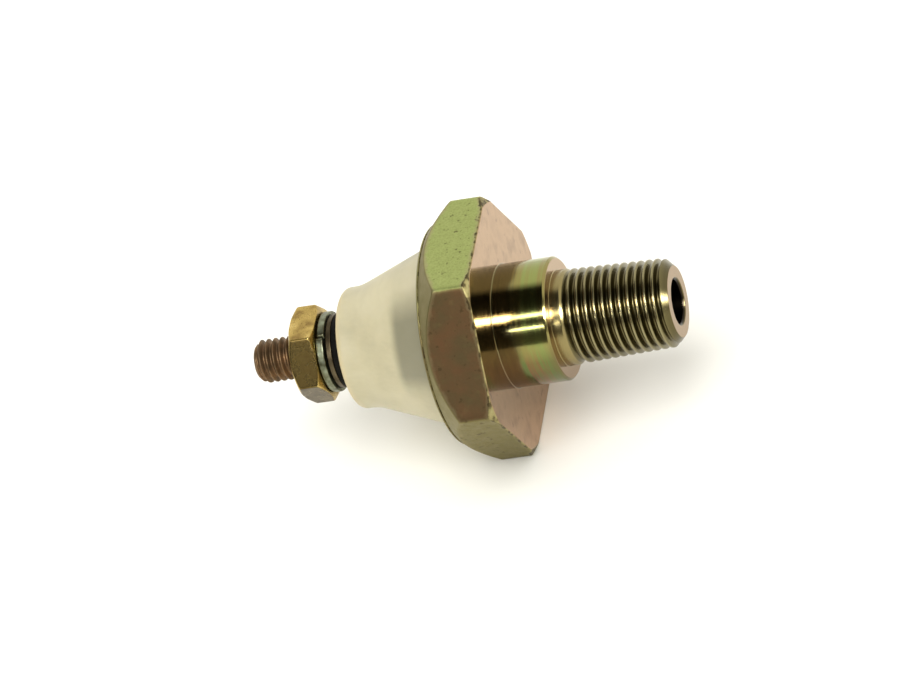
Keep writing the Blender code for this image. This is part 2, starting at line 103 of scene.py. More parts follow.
floor_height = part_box("port_body")[0].z
bpy.ops.mesh.primitive_circle_add(
    vertices=FLOOR_SIDES, radius=FLOOR_RADIUS, fill_type="NGON", location=(0, 0, floor_height)
)
floor = bpy.context.object
floor.name = "white_card"
card, tree, shader = new_material("white_card")
grain = add_node(tree, "ShaderNodeTexNoise", {"Scale": CARD_GRAIN_SCALE, "Detail": 3.0})
bump = add_node(tree, "ShaderNodeBump", {
    "Height": grain.outputs["Fac"], "Strength": 0.05, "Distance": 0.1 * MM,
})
fill(tree, shader, {"Base Color": "#F8F7F1", "Roughness": 0.6, "Normal": bump.outputs["Normal"]})
floor.data.materials.append(card)


# ---------------------------------------------------------------------------
# Camera: a long lens, far away, above the switch on its port side and rolled,
# because the axis runs nearly level across the picture.
# ---------------------------------------------------------------------------
VIEW_AZIMUTH = math.radians(22.7)
VIEW_ELEVATION = math.radians(38.4)
VIEW_ROLL = math.radians(-22.8)
VIEW_DISTANCE = 0.695
LENS_MM = 255.0
SENSOR_WIDTH_MM = 36.0
AIM_RIGHT = -6.40 * MM
AIM_UP = -2.59 * MM

towards = Vector((
    math.sin(VIEW_AZIMUTH) * math.cos(VIEW_ELEVATION),
    -math.cos(VIEW_AZIMUTH) * math.cos(VIEW_ELEVATION),
    math.sin(VIEW_ELEVATION),
))
turn = (-towards).to_track_quat("-Z", "Y") @ Quaternion((0, 0, 1), VIEW_ROLL)
aim = turn @ Vector((AIM_RIGHT, AIM_UP, 0.0))
lens = bpy.data.cameras.new("camera")
lens.lens = LENS_MM
lens.sensor_width = SENSOR_WIDTH_MM
lens.clip_start = 0.05
lens.clip_end = 20.0
camera = bpy.data.objects.new("camera", lens)
camera.rotation_mode = "QUATERNION"
camera.rotation_quaternion = turn
camera.location = aim + towards * VIEW_DISTANCE
bpy.context.scene.collection.objects.link(camera)
bpy.context.scene.camera = camera


# ---------------------------------------------------------------------------
# Light: a room with a bright wall behind and a dim side, one large soft box overhead
# that only matt surfaces see, and four small lamps that only show as reflections and
# draw the thin bright lines on the metal.
# ---------------------------------------------------------------------------
def soft_box(name, direction, distance, size, power, height=None):
    """An area lamp at a distance in a direction, facing the switch."""
    light = bpy.data.lights.new(name, "AREA")
    light.shape = "RECTANGLE" if height else "SQUARE"
    light.size = size
    light.size_y = height or size
    light.energy = power
    lamp = bpy.data.objects.new(name, light)
    way = Vector(direction).normalized()
    lamp.location = way * distance
    lamp.rotation_mode = "QUATERNION"
    lamp.rotation_quaternion = (-way).to_track_quat("-Z", "Y")
    bpy.context.scene.collection.objects.link(lamp)
    return lamp


def socket_math(tree, operation, *values):
    """The output of a Math node."""
    return add_node(
        tree, "ShaderNodeMath", dict(enumerate(values)), operation=operation
    ).outputs["Value"]


def mix_colour(tree, factor, first, second):
    """The output of a colour Mix node."""
    return add_node(
        tree, "ShaderNodeMix", {0: factor, 6: first, 7: second}, data_type="RGBA"
    ).outputs[2]


def ramp(tree, value, stops):
    """The output of a Color Ramp over a value."""
    return add_node(tree, "ShaderNodeValToRGB", {"Fac": value}, stops=stops).outputs["Color"]


ROOM_STRENGTH = 1.2
OVERHEAD_DISTANCE = 0.9
LAMP_DISTANCE = 0.8

# The room by direction round the switch's axis, from the back horizon over the top to the front one: a
# bright wall behind, and darkness overhead and behind the viewer, as the metal mirrors it. The lens
# itself sees only pale wall, and matt surfaces are filled evenly from all round.
world = bpy.data.worlds.new("studio_room")
world.use_nodes = True
tree = world.node_tree
ground = tree.nodes["Background"]
parts = add_node(
    tree, "ShaderNodeSeparateXYZ", {"Vector": add_node(tree, "ShaderNodeTexCoord").outputs["Generated"]}
).outputs
round_axis_angle = socket_math(tree, "ARCTAN2", parts["Z"], parts["Y"])
wall_colour = ramp(tree, socket_math(tree, "DIVIDE", round_axis_angle, math.pi), [
    (0.0, "#FFFDF8"), (0.33, "#FFFDF8"), (0.41, "#1C1B18"), (0.80, "#1C1B18"), (0.90, "#4A4842"),
    (1.0, "#6A6860"),
])
rays = add_node(tree, "ShaderNodeLightPath").outputs
for kind, code in (("Is Camera Ray", "#F4F3EF"), ("Is Diffuse Ray", "#ECEBE6")):
    wall_colour = mix_colour(tree, rays[kind], wall_colour, code)
fill(tree, ground, {"Color": wall_colour, "Strength": ROOM_STRENGTH})
bpy.context.scene.world = world
bpy.context.scene.view_settings.view_transform = "Standard"

overhead = soft_box("overhead", (0.0, -0.45, 1.0), OVERHEAD_DISTANCE, 0.75, 5.0)
overhead.visible_glossy = False
for name, direction, size, power, height in (
    ("port_side_lamp", (0.303, -0.552, 0.777), 0.2, 7.0, 0.13),
    ("stud_side_lamp", (-0.303, -0.552, 0.777), 0.2, 0.6, 0.06),
    ("strip", (-0.303, -0.812, 0.499), 0.3, 0.7, 0.022),
    ("end_lamp", (0.947, -0.119, 0.303), 0.12, 4.0, None),
):
    lamp = soft_box(name, direction, LAMP_DISTANCE, size, power, height)
    lamp.visible_diffuse = False


# ---------------------------------------------------------------------------
# Port body: one turned piece of hexagon steel bar with the tapered pipe nipple, the
# boss, the hexagon and, behind it, the cup whose lip is rolled over the insulator.
# It is zinc plated and yellow passivated: a thin clear film of shifting colours.
# ---------------------------------------------------------------------------
def corner_angles(per_sector, tight=0.35):
    """Angles round the axis for a hexagon with corners at 0, 60, 120... degrees: in each sector
    the angle is the corner's plus 30 degrees times a cubic, so that columns gather at the corner."""
    s = (np.arange(per_sector) + 0.5) / per_sector * 2 - 1
    offset = 30 * (tight * s + (1 - tight) * s**3)
    return np.radians((np.arange(6)[:, None] * 60 + offset[None, :]).ravel())


def hexagon(angles, half_flats, softness):
    """Radius of a hexagon with flats at 30, 90, 150... degrees: half its flats over the cosine of the
    angle from the nearest flat, with both flats at a corner joined by a soft minimum."""
    turned_from_flat = np.mod(np.degrees(angles), 60) - 30
    near = half_flats / np.cos(np.radians(turned_from_flat))
    far = half_flats / np.cos(np.radians(60 - np.abs(turned_from_flat)))
    return near - softness * np.log1p(np.exp((near - far) / softness))


def path(stations, columns):
    """Corner points of a turned outline as (points, columns, 2): station and radius, each a number or one
    value for every column."""
    return np.stack([
        np.stack(np.broadcast_arrays(x, r, np.zeros(columns))[:2], axis=-1) for x, r in stations
    ])


def eased(corners, cuts, steps=4):
    """Rows along a path whose inner corners are eased by parabolas. Each starts its cut before the corner
    and ends as far after it, at most 0.45 of a side away, and has one more row just outside it."""
    count = len(corners)
    cuts = np.broadcast_to(cuts, count).copy()
    cuts[[0, -1]] = 0.0
    before = np.roll(corners, 1, axis=0) - corners
    after = np.roll(corners, -1, axis=0) - corners
    shares = []
    for side in (before, after):
        length = np.maximum(np.linalg.norm(side, axis=-1), 1e-9)
        shares.append(np.minimum(cuts[:, None] / length, 0.45)[..., None])
    start = corners + before * shares[0]
    stop = corners + after * shares[1]
    rows = [corners + before * np.minimum(shares[0] * 1.5, 0.48)]
    for t in np.linspace(0, 1, steps + 1):
        rows.append((1 - t) ** 2 * start + 2 * t * (1 - t) * corners + t**2 * stop)
    rows.append(corners + after * np.minimum(shares[1] * 1.5, 0.48))
    rows = np.stack(rows, axis=1)
    return rows.reshape(-1, *corners.shape[1:])


def round_axis(rows, angles):
    """Rows of (station, radius) carried round X: x is the station, y and z the radius times the cosine
    and sine of the column's angle."""
    x, r = rows[..., 0], rows[..., 1]
    return np.stack([x, r * np.cos(angles), r * np.sin(angles)], axis=-1)


def helix_rows(low, high, pitch, per_turn, angles):
    """Stations of rows that climb one pitch a turn from low to high, held to that stretch at its ends."""
    count = int(math.ceil((high - low) / pitch * per_turn)) + per_turn + 1
    climb = (np.arange(count) / per_turn - 1)[:, None] + angles / (2 * math.pi)
    return np.clip(low + pitch * climb, low, high)


def thread_wave(station, angles, pitch, crest_at, flat):
    """Height of a 60 degree thread from 0 at its root to 1 at its crest: a trapezoid wave of how far the
    station is from the nearest crest, in pitches, averaged over three close places to round its edges."""
    from_crest = np.abs(np.mod((station - crest_at) / pitch - angles / (2 * math.pi) + 0.5, 1) - 0.5)
    wave = [
        np.clip((0.5 - flat / 2 - from_crest - shift) / (0.5 - flat), 0, 1) for shift in (-0.03, 0, 0.03)
    ]
    return (wave[0] + 2 * wave[1] + wave[2]) / 4


MERGE_DISTANCE = 0.0005 * MM


def mesh_piece(name, sheets, material, close_ends=False):
    """One smooth closed mesh from sheets of points shaped (rows, columns, 3). The columns of a sheet close
    on themselves, shifted by its second value in rows where it climbs like a helix. Points in one
    place are merged, and its first and last rows are filled where close_ends is set."""
    points, quads, count = [], [], 0
    for grid, shift in sheets:
        rows, columns = grid.shape[:2]
        row, column = np.mgrid[0 : rows - 1, 0:columns]
        beside = (column + 1) % columns
        lift = np.where(column == columns - 1, shift, 0)
        quads.append(count + np.stack([
            row * columns + column,
            np.minimum(row + lift, rows - 1) * columns + beside,
            np.minimum(row + 1 + lift, rows - 1) * columns + beside,
            (row + 1) * columns + column,
        ], axis=-1).reshape(-1, 4))
        points.append(grid.reshape(-1, 3))
        count += rows * columns
    mesh = bpy.data.meshes.new(name)
    mesh.from_pydata(np.concatenate(points), [], np.concatenate(quads))
    bm = bmesh.new()
    bm.from_mesh(mesh)
    bmesh.ops.remove_doubles(bm, verts=bm.verts, dist=MERGE_DISTANCE)
    if close_ends:
        bmesh.ops.holes_fill(bm, edges=bm.edges)
    bmesh.ops.recalc_face_normals(bm, faces=bm.faces)
    for face in bm.faces:
        face.smooth = True
    bm.to_mesh(mesh)
    bm.free()
    mesh.materials.append(material)
    piece = bpy.data.objects.new(name, mesh)
    bpy.context.scene.collection.objects.link(piece)
    return piece


def noise(tree, vector, size_mm, detail=4.0, **extra):
    """Noise whose features are about size_mm across."""
    return add_node(
        tree, "ShaderNodeTexNoise", {"Vector": vector, "Scale": 1000.0 / size_mm, "Detail": detail, **extra}
    ).outputs["Fac"]


def object_place(tree):
    """A point's place on the object, in metres."""
    return add_node(tree, "ShaderNodeTexCoord").outputs["Object"]


def turned_coordinates(tree, along=1.0, around=0.04):
    """Coordinates for lathe marks (station, radius and a little of the height), with the place they
    come from, its parts and the radius, in metres."""
    place = object_place(tree)
    parts = add_node(tree, "ShaderNodeSeparateXYZ", {"Vector": place}).outputs
    radius = add_node(
        tree, "ShaderNodeVectorMath",
        {0: add_node(tree, "ShaderNodeCombineXYZ", {"Y": parts["Y"], "Z": parts["Z"]}).outputs["Vector"]},
        operation="LENGTH",
    ).outputs["Value"]
    return add_node(tree, "ShaderNodeCombineXYZ", {
        "X": socket_math(tree, "MULTIPLY", parts["X"], along),
        "Y": radius,
        "Z": socket_math(tree, "MULTIPLY", parts["Z"], around),
    }).outputs["Vector"], place, parts, radius


def add_bump(tree, height, strength, distance, below=None):
    """The normal of a Bump node, laid over another one's normal."""
    inputs = {"Height": height, "Strength": strength, "Distance": distance}
    if below is not None:
        inputs["Normal"] = below
    return add_node(tree, "ShaderNodeBump", inputs).outputs["Normal"]


def mix_value(tree, factor, first, second):
    """The output of a number Mix node."""
    return add_node(
        tree, "ShaderNodeMix", {0: factor, 2: first, 3: second}, data_type="FLOAT"
    ).outputs[0]


def rise(tree, value, low, high):
    """A mask that is 0 up to the low value and 1 from the high one."""
    return ramp(tree, value, [(low, "#000000"), (high, "#FFFFFF")])


def fall(tree, value, low, high):
    """A mask that is 1 up to the low value and 0 from the high one."""
    return ramp(tree, value, [(low, "#FFFFFF"), (high, "#000000")])


def facing_parts(tree):
    """The parts of the surface's own direction: X along the axis, Z up."""
    normal = add_node(tree, "ShaderNodeTexCoord").outputs["Normal"]
    return add_node(tree, "ShaderNodeSeparateXYZ", {"Vector": normal}).outputs


HEX_COLUMNS = 40
HEX_CORNER_SOFTNESS = 0.15 * MM
EDGE_FLAT = 0.15 * MM
FRONT_CHAMFER = 1.0 * MM
CHAMFER_SLOPE = math.tan(math.radians(30))
BOSS_RADIUS = 6.8 * MM
BOSS_END = 6.05 * MM
NECK_RADIUS = 5.25 * MM
NECK_END = 7.15 * MM
PIPE_PITCH = INCH / 27
PIPE_DEPTH = 0.62 * MM
PIPE_CREST_RADIUS = 5.2 * MM
PIPE_TAPER = 1 / 32
PIPE_CREST_START = 6.67 * MM
PIPE_CREST_FLAT = 0.22
PIPE_ROWS = 16
TIP_RADIUS = 3.9 * MM
BORE_RADIUS = 2.4 * MM
BORE_CHAMFER = 0.25 * MM
HEX_BACK = -6.35 * MM
RIM_RADIUS = 12.2 * MM
GROOVE = 0.1 * MM
LIP_RADIUS = 10.55 * MM
LIP_INSIDE = -5.7 * MM
CUP_RADIUS = 11.5 * MM
CUP_FLOOR = -2.05 * MM
CHAMBER_RADIUS = 6.2 * MM
CHAMBER_FLOOR = -1.3 * MM
THREAD_OVERLAP = 0.4 * MM
MASK_MARGIN = 0.15 * MM
PER_MM = 1 / MM

body_low, body_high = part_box("port_body")
nipple_end = body_high.x
lip_end = body_low.x
half_flats = body_high.z
hex_corner = half_flats * 2 / math.sqrt(3)


# Yellow passivated zinc: the film's thickness differs from face to face and along the lathe marks, so it
# runs from green through gold and brown to pink; on the hexagon the colours also hold painted light and
# shade that follow which way each face points. The hexagon keeps the drawn bar's pitted skin, its front
# face and the boss are bright turned metal, the thread is darker in its roots, and the bore is painted dark
# as shade.
def make_zinc_yellow():
    material, tree, shader = new_material("yellow_passivated_zinc")
    lathe, place, parts, radius = turned_coordinates(tree)
    facing = facing_parts(tree)
    patches = noise(tree, place, 2.6)
    mottle = noise(tree, place, 0.9, 5.0)
    streaks = noise(tree, lathe, 0.12, 4.0)
    wide_streaks = noise(tree, lathe, 1.1, 2.0)

    # Hexagon: green on top, brown on the upper sides with reddish patches, olive below. These colours
    # follow which
    # way each face points: the lighter top is painted light and the dark brown of the upper sides is
    # painted shade
    up = socket_math(tree, "ADD", facing["Z"], socket_math(tree, "MULTIPLY_ADD", mottle, 0.24, -0.12))
    side = ramp(tree, socket_math(tree, "MULTIPLY_ADD", up, 0.5, 0.5), [
        (0.10, "#80764A"), (0.32, "#7E7444"), (0.52, "#62543A"), (0.76, "#604C34"),
        (0.84, "#7E734A"), (0.93, "#A5AE6A"), (1.0, "#A8B26C"),
    ])
    upper_side = ramp(tree, facing["Z"], [
        (0.2, "#000000"), (0.4, "#FFFFFF"), (0.6, "#FFFFFF"), (0.8, "#000000"),
    ])
    greener = ramp(tree, noise(tree, place, 1.6, 6.0), [(0.35, "#000000"), (0.75, "#D0D0D0")])
    side = mix_colour(tree, socket_math(tree, "MULTIPLY", greener, upper_side), side, "#544E34")
    redder = rise(tree, patches, 0.42, 0.7)
    redder = socket_math(tree, "MULTIPLY", socket_math(tree, "MULTIPLY", redder, upper_side), 0.7)
    side = mix_colour(tree, redder, side, "#6C4C34")
    grime = ramp(tree, noise(tree, place, 0.22, 6.0), [(0.35, "#808080"), (0.6, "#000000")])
    side = mix_colour(tree, grime, side, "#54492E")
    pits = fall(tree, noise(tree, place, 0.7, 3.0), 0.29, 0.37)
    side = mix_colour(tree, socket_math(tree, "MULTIPLY", pits, 0.7), side, "#4A3C26")
    # Millimetres from a point on a flat to its two chamfers, which follow the cones that cut them
    past_cone = socket_math(tree, "SUBTRACT", radius, hex_corner - FRONT_CHAMFER)
    past_cone = socket_math(tree, "MAXIMUM", past_cone, 0.0)
    to_front = socket_math(
        tree, "SUBTRACT", socket_math(tree, "MULTIPLY", parts["X"], -PER_MM),
        socket_math(tree, "MULTIPLY", past_cone, CHAMFER_SLOPE * PER_MM),
    )
    to_back = socket_math(
        tree, "SUBTRACT",
        socket_math(tree, "MULTIPLY_ADD", parts["X"], PER_MM, (RIM_RADIUS - HEX_BACK) * PER_MM),
        socket_math(tree, "MULTIPLY", radius, PER_MM),
    )
    ragged = socket_math(tree, "MULTIPLY_ADD", mottle, 1.0, -0.5)
    edge = socket_math(tree, "ADD", socket_math(tree, "MINIMUM", to_front, to_back), ragged)
    # Pale worn border along the chamfers, weighted by which way the face points, so on top it is also
    # painted light
    worn_edge_and_painted_top_light = socket_math(
        tree, "MULTIPLY", fall(tree, edge, 0.15, 0.5),
        ramp(tree, facing["Z"], [(0.6, "#7C7C7C"), (0.9, "#D0D0D0")]),
    )
    side = mix_colour(tree, worn_edge_and_painted_top_light, side, "#A89E74")
    soiled = fall(tree, socket_math(tree, "ADD", to_front, ragged), 0.08, 0.2)
    side = mix_colour(tree, socket_math(tree, "MULTIPLY", soiled, 0.85), side, "#3A3020")
    chamfer = rise(tree, facing["X"], 0.15, 0.4)
    worn = ramp(tree, mottle, [(0.42, "#544A30"), (0.52, "#8E8458"), (0.7, "#A39A6C")])
    side = mix_colour(tree, chamfer, side, worn)
    facing_back = socket_math(tree, "MULTIPLY", facing["X"], -1.0)
    side = mix_colour(tree, rise(tree, facing_back, 0.0, 0.4), side, "#857C54")

    # Front face: pinkish tan, with brown pits and scratches
    face = ramp(tree, patches, [(0.3, "#A38260"), (0.5, "#AE8C68"), (0.7, "#967654")])
    marks = fall(tree, noise(tree, place, 1.5, 6.0, Distortion=0.6), 0.31, 0.38)
    face = mix_colour(tree, socket_math(tree, "MULTIPLY", marks, 0.6), face, "#6A4C34")
    within_boss = socket_math(tree, "LESS_THAN", radius, BOSS_RADIUS + MASK_MARGIN)
    flat = socket_math(
        tree, "MULTIPLY", rise(tree, facing["X"], 0.90, 0.97),
        socket_math(tree, "SUBTRACT", 1.0, within_boss),
    )
    colour = mix_colour(tree, flat, side, face)

    # Boss: brown by the hexagon and green at its end above, and bands of green, orange and pink
    # below, all drawn out along the lathe marks
    along = socket_math(tree, "DIVIDE", parts["X"], BOSS_END)
    along = socket_math(tree, "ADD", along, socket_math(tree, "MULTIPLY_ADD", streaks, 0.5, -0.25))
    along = socket_math(tree, "ADD", along, socket_math(tree, "MULTIPLY_ADD", wide_streaks, 0.8, -0.4))
    above = ramp(tree, along, [
        (0.0, "#6E6646"), (0.3, "#7A744C"), (0.5, "#8E844E"), (0.75, "#8B9454"), (1.0, "#8E8450"),
    ])
    below = ramp(tree, along, [
        (0.0, "#6A5A44"), (0.3, "#766848"), (0.45, "#5F7040"), (0.6, "#805E40"), (0.78, "#667442"),
        (1.0, "#706642"),
    ])
    boss = mix_colour(tree, fall(tree, facing["Z"], 0.0, 0.35), above, below)
    shoulder = rise(tree, facing["X"], 0.85, 0.95)
    boss = mix_colour(tree, shoulder, boss, "#A88C6C")
    colour = mix_colour(tree, within_boss, colour, boss)

    # Nipple: darker in the thread's roots, paler along its crests
    crest_at_origin = PIPE_CREST_RADIUS + NECK_END * PIPE_TAPER
    crest = socket_math(tree, "MULTIPLY_ADD", parts["X"], -PIPE_TAPER, crest_at_origin)
    depth = socket_math(tree, "DIVIDE", socket_math(tree, "SUBTRACT", radius, crest), PIPE_DEPTH)
    thread = ramp(tree, socket_math(tree, "ADD", depth, 1.0), [
        (0.0, "#5C5438"), (0.5, "#686040"), (0.9, "#6E6644"), (0.98, "#8C8462"),
    ])
    nipple = socket_math(tree, "GREATER_THAN", parts["X"], BOSS_END + 0.01 * MM)
    before_thread = socket_math(tree, "LESS_THAN", parts["X"], NECK_END + 0.25 * MM)
    thread = mix_colour(tree, before_thread, thread, "#8E8156")
    colour = mix_colour(tree, nipple, colour, thread)
    end_face = socket_math(tree, "GREATER_THAN", parts["X"], nipple_end - 0.01 * MM)
    colour = mix_colour(tree, end_face, colour, "#957A58")
    # The bore is painted dark: painted shade inside the hole
    painted_bore_shade = socket_math(tree, "LESS_THAN", radius, BORE_RADIUS + MASK_MARGIN)
    colour = mix_colour(tree, painted_bore_shade, colour, "#2A241C")

    rough = socket_math(tree, "MULTIPLY_ADD", mottle, 0.3, 0.36)
    rough = mix_value(tree, flat, rough, 0.1)
    turned = socket_math(tree, "MULTIPLY_ADD", streaks, 0.2, 0.04)
    rough = mix_value(tree, within_boss, rough, turned)
    rough = mix_value(tree, nipple, rough, 0.25)
    normal = add_bump(tree, streaks, 0.12, 0.01 * MM)
    hollow = socket_math(tree, "MULTIPLY", pits, socket_math(tree, "SUBTRACT", 1.0, flat))
    normal = add_bump(tree, hollow, -0.4, 0.04 * MM, normal)
    fill(tree, shader, {"Base Color": colour, "Roughness": rough, "Metallic": 1.0, "Normal": normal})
    return material


zinc_yellow = make_zinc_yellow()


def pipe_radius(station, angles):
    """Radius of the nipple: the thread's wave, which grows to its full depth over its first turn, on a cone
    that narrows 1 in 16 on the diameter, no lower than the neck with its 45 degree step, and no higher
    than the tip's 45 degree lead-in."""
    crest = PIPE_CREST_RADIUS - (station - NECK_END) * PIPE_TAPER
    wave = thread_wave(station, angles + math.pi / 2, PIPE_PITCH, PIPE_CREST_START, PIPE_CREST_FLAT)
    started = np.clip((station - NECK_END - PIPE_PITCH * 0.2) / (PIPE_PITCH * 0.6), 0, 1)
    thread = crest - PIPE_DEPTH + PIPE_DEPTH * wave * started
    neck = NECK_RADIUS - np.maximum(station - NECK_END, 0)
    lead_in = TIP_RADIUS + (nipple_end - station)
    return np.minimum(np.maximum(thread, neck), lead_in)


angles = corner_angles(HEX_COLUMNS)
hex_radius = hexagon(angles, half_flats, HEX_CORNER_SOFTNESS)
front_edge = np.minimum(hex_radius - EDGE_FLAT, hex_corner - FRONT_CHAMFER)
mouth = path([
    (nipple_end / 2, BORE_RADIUS),
    (nipple_end - BORE_CHAMFER, BORE_RADIUS),
    (nipple_end, BORE_RADIUS + BORE_CHAMFER),
    (nipple_end, TIP_RADIUS - 0.06 * MM),
    (nipple_end, TIP_RADIUS),
], len(angles))
pipe = helix_rows(BOSS_END + THREAD_OVERLAP, nipple_end, PIPE_PITCH, PIPE_ROWS, angles)
pipe = np.stack([pipe, pipe_radius(pipe, angles)], axis=-1)
body = path([
    (BOSS_END + THREAD_OVERLAP, NECK_RADIUS),
    (BOSS_END, NECK_RADIUS),
    (BOSS_END, BOSS_RADIUS - 0.25 * MM),
    (BOSS_END - 0.25 * MM, BOSS_RADIUS),
    (0.0, BOSS_RADIUS),
    (0.0, front_edge),
    (-(hex_radius - front_edge) * CHAMFER_SLOPE, hex_radius),
    (HEX_BACK + hex_radius - RIM_RADIUS, hex_radius),
    (HEX_BACK, RIM_RADIUS),
    (HEX_BACK, RIM_RADIUS - GROOVE),
    (HEX_BACK - GROOVE / 2, RIM_RADIUS - GROOVE),
    (HEX_BACK - GROOVE, RIM_RADIUS),
    (lip_end + GROOVE, RIM_RADIUS),
    (lip_end, RIM_RADIUS - GROOVE),
    (lip_end, LIP_RADIUS),
    (LIP_INSIDE, LIP_RADIUS),
    (LIP_INSIDE, CUP_RADIUS),
    (CUP_FLOOR, CUP_RADIUS),
    (CUP_FLOOR, CHAMBER_RADIUS),
    (CHAMBER_FLOOR, CHAMBER_RADIUS),
    (CHAMBER_FLOOR, BORE_RADIUS),
    (nipple_end / 2, BORE_RADIUS),
], len(angles))
body_cuts = np.array([0, 0.1, 0.05, 0.06, 0.12, 0.08, 0.15, 0.15, 0.04, 0.02, 0.02, 0.03, 0.04, 0.04,
                      0.1, 0.05, 0.05, 0.05, 0.05, 0.05, 0.05, 0]) * MM
port = mesh_piece("port_body_fine", [
    (round_axis(eased(mouth, 0.05 * MM), angles), 0),
    (round_axis(pipe, angles), PIPE_ROWS),
    (round_axis(eased(body, body_cuts), angles), 0),
], zinc_yellow)
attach(port, "housing")
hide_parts("port_body")


# ---------------------------------------------------------------------------
# Stack in the cup: gasket, polyimide diaphragm and the earthed contact ring, laid on the
# floor of the cup, and the rubber ring that the lip presses on. They are sealed in, so
# they keep their plain turned or stamped shapes.
# ---------------------------------------------------------------------------
def finish_node(node, material):
    """Gives a CAD node a material in all its slots."""
    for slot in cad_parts[node].material_slots:
        slot.material = material


# Nitrile rubber, moulded and cut: black, with a faint grain and a dull skin
def make_rubber():
    material, tree, shader = new_material("nitrile_rubber")
    place = object_place(tree)
    grain = noise(tree, place, 0.12)
    dust = noise(tree, place, 1.5)
    fill(tree, shader, {
        "Base Color": ramp(tree, dust, [(0.4, "#0B0A08"), (0.75, "#1A1712")]),
        "Roughness": 0.7,
        "Specular IOR Level": 0.08,
        "Normal": add_bump(tree, grain, 0.3, 0.02 * MM),
    })
    return material


# Polyimide film: clear amber sheet, smooth on both sides
def make_film():
    material, tree, shader = new_material("polyimide_film")
    place = object_place(tree)
    cloud = noise(tree, place, 3.0)
    fill(tree, shader, {
        "Base Color": ramp(tree, cloud, [(0.3, "#B4631A"), (0.7, "#D2862E")]),
        "Roughness": 0.18,
        "Normal": add_bump(tree, cloud, 0.1, 0.05 * MM),
    })
    return material


# Rolled or drawn metal, barrel finished: fine scratches in every direction, and a little tarnish
def make_metal(name, bright, dull, roughness, tarnish_mm=2.0, scratch=0.12):
    material, tree, shader = new_material(name)
    place = object_place(tree)
    tarnish = noise(tree, place, tarnish_mm)
    scratches = noise(tree, place, 0.1, 2.0, Distortion=1.5)
    fill(tree, shader, {
        "Base Color": ramp(tree, tarnish, [(0.35, dull), (0.65, bright)]),
        "Roughness": socket_math(tree, "MULTIPLY_ADD", tarnish, -0.2, roughness + 0.1),
        "Metallic": 1.0,
        "Normal": add_bump(tree, scratches, scratch, 0.01 * MM),
    })
    return material


rubber = make_rubber()
film = make_film()
pressed_brass = make_metal("pressed_brass", "#D8B26A", "#A98548", 0.3)
finish_node("diaphragm_gasket", rubber)
finish_node("diaphragm", film)
finish_node("contact_ring", pressed_brass)
finish_node("crimp_seal", rubber)


# ---------------------------------------------------------------------------
# Moving contact: a steel plate on the diaphragm, a phenolic pusher through the contact
# plate, and three silver rivets in the brass plate that touch the contact ring.
# ---------------------------------------------------------------------------
# Phenolic resin, moulded: red-brown with paler wood filler
def make_phenolic():
    material, tree, shader = new_material("phenolic_resin")
    place = object_place(tree)
    filler = noise(tree, place, 0.3, 5.0)
    fill(tree, shader, {
        "Base Color": ramp(tree, filler, [(0.35, "#3A1E12"), (0.7, "#6A4028")]),
        "Roughness": 0.35,
        "Normal": add_bump(tree, filler, 0.1, 0.02 * MM),
    })
    return material


plain_steel = make_metal("rolled_steel", "#8A7C68", "#5C4E3A", 0.4)
finish_node("pressure_plate", plain_steel)
finish_node("insulating_pusher", make_phenolic())
finish_node("contact_plate", pressed_brass)
silver = make_metal("contact_silver", "#E6E4DC", "#BDB8AA", 0.22, 0.8)
for number in (1, 2, 3):
    finish_node(f"contact_rivet_{number}", silver)


# ---------------------------------------------------------------------------
# Contact spring, its brass seat and the setting screw behind them. The spring is hard
# drawn wire with its first and last turns closed, and shortens as the contact opens.
# ---------------------------------------------------------------------------
SPRING_WIRE = 0.275 * MM
SPRING_TURNS = 5.5
SPRING_CLOSED = 1.0
SPRING_RADIUS = 2.6 * MM
SPRING_STEPS = 48
WIRE_SIDES = 14


def coil_station(turns, low, high):
    """Station along the coil: one closed turn at each end climbs 2.1 wire radii, and the open turns
    share the rest evenly."""
    closed_rise = 2.1 * SPRING_WIRE * SPRING_CLOSED
    open_turns = SPRING_TURNS - 2 * SPRING_CLOSED
    open_rise = high - low - 2 * closed_rise
    first = np.clip(turns / SPRING_CLOSED, 0, 1) * closed_rise
    middle = np.clip((turns - SPRING_CLOSED) / open_turns, 0, 1) * open_rise
    last = np.clip((turns - SPRING_CLOSED - open_turns) / SPRING_CLOSED, 0, 1) * closed_rise
    return low + first + middle + last


spring_low, spring_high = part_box("contact_spring")
turns = np.linspace(0, SPRING_TURNS, int(SPRING_TURNS * SPRING_STEPS) + 1)[:, None]
sides = np.arange(WIRE_SIDES)[None, :] * 2 * math.pi / WIRE_SIDES
station = coil_station(turns, spring_low.x + SPRING_WIRE, spring_high.x - SPRING_WIRE)
# The wire closes to a point over its last step at each end
taper = np.minimum(np.minimum(turns, SPRING_TURNS - turns) * SPRING_STEPS / 2, 1)
wire = SPRING_WIRE * np.sqrt(1 - (1 - taper) ** 2)
across = SPRING_RADIUS + wire * np.cos(sides)
angle = 2 * math.pi * turns
coil = np.stack([
    station + wire * np.sin(sides), across * np.sin(angle), -across * np.cos(angle)
], axis=-1)
spring = mesh_piece("contact_spring_wire", [(coil, 0)], plain_steel)
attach(spring, "housing")
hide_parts("contact_spring")
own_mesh(spring)
finish_node("spring_seat", pressed_brass)
finish_node("setting_screw", pressed_brass)


